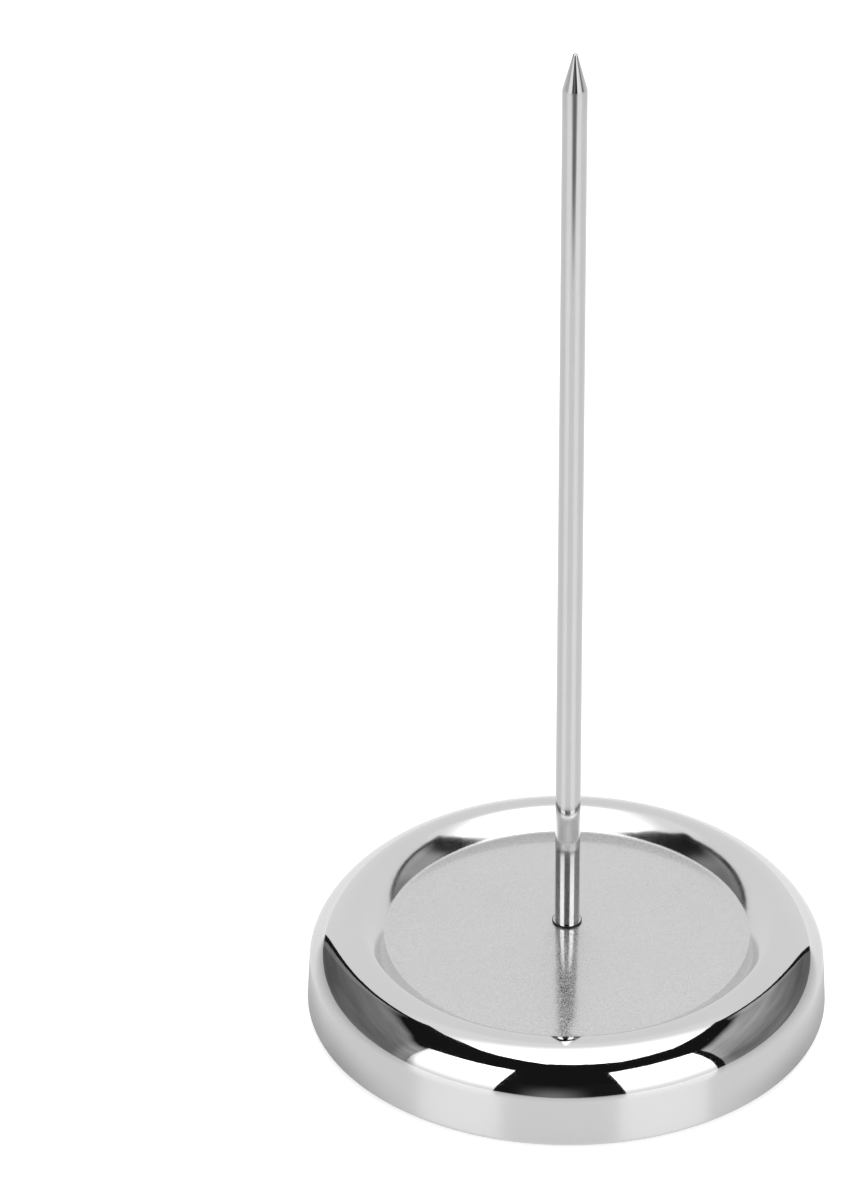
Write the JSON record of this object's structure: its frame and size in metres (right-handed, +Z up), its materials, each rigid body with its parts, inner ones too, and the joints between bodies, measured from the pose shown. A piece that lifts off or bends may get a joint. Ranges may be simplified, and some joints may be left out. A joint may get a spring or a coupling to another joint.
{
  "type": "check spindle",
  "caption": "Upright pointed steel rod on a round weighted steel base, for stacking paper slips pushed down over the rod.",
  "frame": {"origin": "on the axis, in the plane of the foot pad's underside", "axes": "+Z up along the rod, towards its point; the part is round about Z, apart from the hidden nut and spring washer"},
  "size_m": [0.082, 0.082, 0.1787],
  "materials": {
    "polished_steel": "mirror polished rim, satin centre disc",
    "rod_steel": "polished, with fine lengthwise drawing marks",
    "cast_iron": "as cast, dull grey",
    "zinc_steel": "zinc plated",
    "spring_steel": "dark oiled spring steel",
    "sheet_steel": "mill finish sheet",
    "pad_rubber": "matt black foam rubber, fine grain"
  },
  "bodies": {
    "root": {"base_shell": "polished_steel", "spike": "rod_steel", "seat_ring": "rod_steel", "ballast_weight": "cast_iron", "flat_washer": "zinc_steel", "lock_washer": "spring_steel", "hex_nut": "zinc_steel", "bottom_plate": "sheet_steel", "foot_pad": "pad_rubber"}
  },
  "joints": []
}
